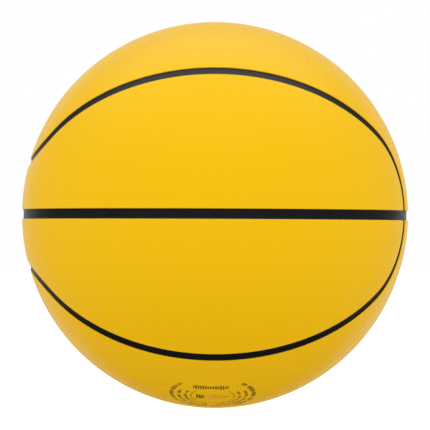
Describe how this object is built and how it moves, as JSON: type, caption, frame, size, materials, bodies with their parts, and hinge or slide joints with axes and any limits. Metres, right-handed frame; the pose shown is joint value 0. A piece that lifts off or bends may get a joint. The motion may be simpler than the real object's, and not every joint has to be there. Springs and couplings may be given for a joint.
{
  "type": "rubber basketball",
  "caption": "Round inflated rubber ball with raised, pebbled panels between recessed seam channels and a needle valve with a pull-out plug.",
  "frame": {"origin": "centre of the ball", "axes": "+Z is square to the plane of the waist seam, +Y is square to the plane of the crown seam, and +X points to the crossing of these seams where the curved seam turns over the waist seam; the valve is on the -Y side, 67.5 degrees below the waist"},
  "size_m": [0.2398, 0.24, 0.24],
  "materials": {
    "cover_yellow": "pebbled moulded rubber, satin",
    "seam_black": "smooth moulded rubber, satin",
    "carcass_rubber": "calendered rubber sheet, matte",
    "nylon_thread": "wound nylon thread in latex",
    "bladder_rubber": "smooth butyl rubber, satin",
    "valve_rubber": "smooth moulded rubber, satin",
    "plug_rubber": "smooth moulded rubber, satin"
  },
  "bodies": {
    "ball": {"cover_panel_front_upper_waist": "cover_yellow", "cover_panel_front_upper_crown": "cover_yellow", "cover_panel_front_lower_waist": "cover_yellow", "cover_panel_front_lower_crown": "cover_yellow", "cover_panel_rear_upper_waist": "cover_yellow", "cover_panel_rear_upper_crown": "cover_yellow", "cover_panel_rear_lower_waist": "cover_yellow", "cover_panel_rear_lower_crown": "cover_yellow", "seam_strip_waist": "seam_black", "seam_strip_crown_upper": "seam_black", "seam_strip_crown_lower": "seam_black", "seam_strip_curved_front_upper": "seam_black", "seam_strip_curved_front_lower": "seam_black", "seam_strip_curved_rear_upper": "seam_black", "seam_strip_curved_rear_lower": "seam_black", "carcass": "carcass_rubber", "thread_winding": "nylon_thread", "bladder": "bladder_rubber", "valve_housing": "valve_rubber"},
    "plug": {"valve_plug": "plug_rubber"}
  },
  "joints": [
    {"name": "valve_plug_pull", "type": "slide", "parent": "ball", "child": "plug", "axis": [0, -0.3827, -0.9239], "range_m": [0, 0.025]}
  ]
}
